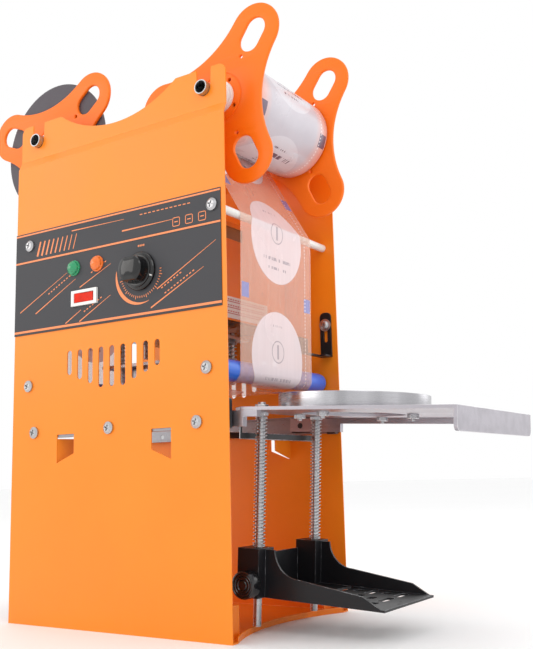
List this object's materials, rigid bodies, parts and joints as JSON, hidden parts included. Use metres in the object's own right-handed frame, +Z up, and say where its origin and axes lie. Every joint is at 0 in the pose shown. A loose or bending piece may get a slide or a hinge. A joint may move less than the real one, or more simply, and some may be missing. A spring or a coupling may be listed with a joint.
{
  "type": "cup sealing machine",
  "caption": "Countertop cup sealer: two side panels, film reels above, heated press head, and a pull-out cup drawer with height-adjustable support.",
  "frame": {"origin": "centre of the footprint, on the surface the machine stands on", "axes": "+Z up, -Y towards the operator and the pulled-out drawer, -X the side with the controls"},
  "size_m": [0.223, 0.5375, 0.5768],
  "materials": {
    "panel_orange": "satin powder coat",
    "tray_orange": "satin powder coat",
    "wheel_orange": "moulded semi-gloss",
    "white_plastic": "satin",
    "roller_blue": "smooth",
    "bright_steel": "zinc plated",
    "alu_brushed": "brushed",
    "alu_turned": "turned",
    "black_coat": "black powder coat",
    "black_plastic": "moulded",
    "fascia": "printed film, satin",
    "film_roll": "wound printed film",
    "film": "thin clear printed film",
    "disc_dark": "coarse grain",
    "cardboard": "plain",
    "lens_green": "clear tinted",
    "lens_orange": "clear tinted",
    "rocker_red": "clear tinted",
    "board": "solder mask",
    "motor_grey": "satin",
    "rubber_black": "matte",
    "label_white": "printed label"
  },
  "bodies": {
    "frame": {"panel_near": "panel_orange", "panel_far": "panel_orange", "base_tray": "tray_orange", "housing_cover": "tray_orange", "info_plate": "label_white", "outer_slides": "bright_steel", "slide_end_blocks": "black_plastic", "film_guide_rods": "white_plastic", "roller_shafts": "bright_steel", "panel_screws": "bright_steel", "sensor_bracket": "black_coat", "eye_sensor": "black_plastic", "press_deck": "bright_steel", "press_guide_posts": "bright_steel", "press_gearmotor": "motor_grey", "winding_motor": "motor_grey", "winding_belt": "rubber_black", "control_board": "board", "thermostat": "white_plastic", "control_fascia": "fascia", "lamp_green": "lens_green", "lamp_orange": "lens_orange", "switch_bezel": "white_plastic", "power_inlet": "black_plastic", "film_web": "film"},
    "supply_reel": {"supply_tube": "alu_turned", "supply_collars": "white_plastic", "supply_wheel_near": "wheel_orange", "supply_wheel_far": "wheel_orange", "supply_core": "cardboard", "supply_film": "film_roll"},
    "takeup_reel": {"takeup_tube": "alu_turned", "takeup_collars": "white_plastic", "takeup_wheel_near": "wheel_orange", "takeup_wheel_far": "wheel_orange", "takeup_disc": "disc_dark", "takeup_film": "film_roll", "takeup_pulley": "black_plastic"},
    "winder_pulley": {"motor_pulley": "bright_steel"},
    "roller_front": {"front_roller": "roller_blue"},
    "roller_rear": {"rear_roller": "roller_blue"},
    "slide_carriage": {"slide_shoes": "black_plastic"},
    "drawer": {"drawer_plate": "alu_brushed", "drawer_arms": "bright_steel", "drawer_cross_bar": "bright_steel", "cup_ring": "alu_turned", "drawer_fasteners": "bright_steel", "support_rods": "bright_steel", "rod_springs": "bright_steel"},
    "cup_cradle": {"cup_support": "black_coat"},
    "cradle_knob": {"support_knob": "black_plastic"},
    "press": {"press_bridge": "bright_steel", "connecting_rod": "bright_steel", "head_springs": "bright_steel"},
    "head": {"heating_head": "alu_turned", "head_bolts": "bright_steel"},
    "crank": {"press_crank": "bright_steel"},
    "temperature_dial": {"temperature_knob": "black_plastic"},
    "rocker": {"power_rocker": "rocker_red"}
  },
  "joints": [
    {"name": "takeup_turn", "type": "hinge", "parent": "frame", "child": "takeup_reel", "pos_m": [0, 0.11, 0.4925], "axis": [1, 0, 0], "continuous": true},
    {"name": "supply_turn", "type": "hinge", "parent": "frame", "child": "supply_reel", "pos_m": [0, -0.11, 0.4925], "axis": [1, 0, 0], "continuous": true},
    {"name": "winder_turn", "type": "hinge", "parent": "frame", "child": "winder_pulley", "pos_m": [0.0895, 0.09, 0.365], "axis": [1, 0, 0], "continuous": true},
    {"name": "front_roller_turn", "type": "hinge", "parent": "frame", "child": "roller_front", "pos_m": [0, -0.1125, 0.231], "axis": [1, 0, 0], "continuous": true},
    {"name": "rear_roller_turn", "type": "hinge", "parent": "frame", "child": "roller_rear", "pos_m": [0, 0.1125, 0.231], "axis": [1, 0, 0], "continuous": true},
    {"name": "drawer_slide", "type": "slide", "parent": "frame", "child": "slide_carriage", "axis": [0, 1, 0], "range_m": [0, 0.203]},
    {"name": "drawer_level", "type": "hinge", "parent": "slide_carriage", "child": "drawer", "pos_m": [0, -0.095, 0.187], "axis": [-1, 0, 0], "range_deg": [0, 3.1]},
    {"name": "cradle_lift", "type": "slide", "parent": "drawer", "child": "cup_cradle", "axis": [0, -0.0541, 0.9985], "range_m": [0, 0.06], "deforming": ["rod_springs"]},
    {"name": "cradle_knob_turn", "type": "hinge", "parent": "cup_cradle", "child": "cradle_knob", "pos_m": [-0.061, -0.12712, 0.04405], "axis": [1, 0, 0], "continuous": true},
    {"name": "press_stroke", "type": "slide", "parent": "frame", "child": "press", "axis": [0, 0, -1], "range_m": [0, 0.012], "deforming": ["film_web"]},
    {"name": "crank_turn", "type": "hinge", "parent": "frame", "child": "crank", "pos_m": [0.01, 0, 0.346], "axis": [1, 0, 0], "range_deg": [0, 180.1]},
    {"name": "head_float", "type": "slide", "parent": "press", "child": "head", "axis": [0, 0, 1], "range_m": [0, 0.004], "stiffness_N_per_m": 3000, "springref_m": -0.01, "deforming": ["head_springs"]},
    {"name": "temperature_turn", "type": "hinge", "parent": "frame", "child": "temperature_dial", "pos_m": [-0.11, -0.037, 0.328], "axis": [1, 0, 0], "range_deg": [0, 270]},
    {"name": "power_rocker_tilt", "type": "hinge", "parent": "frame", "child": "rocker", "pos_m": [-0.0988, 0.0346, 0.3127], "axis": [0, 0, -1], "range_deg": [0, 12]}
  ],
  "couplings": [
    {"joint": "supply_turn", "follows": "takeup_turn", "ratio": 0.8095},
    {"joint": "winder_turn", "follows": "takeup_turn", "ratio": 2},
    {"joint": "front_roller_turn", "follows": "takeup_turn", "ratio": -3.4},
    {"joint": "rear_roller_turn", "follows": "takeup_turn", "ratio": -3.4},
    {"joint": "drawer_level", "follows": "drawer_slide", "rad_per_m": 0.2665},
    {"joint": "crank_turn", "follows": "press_stroke", "rad_per_m": 261.8}
  ]
}
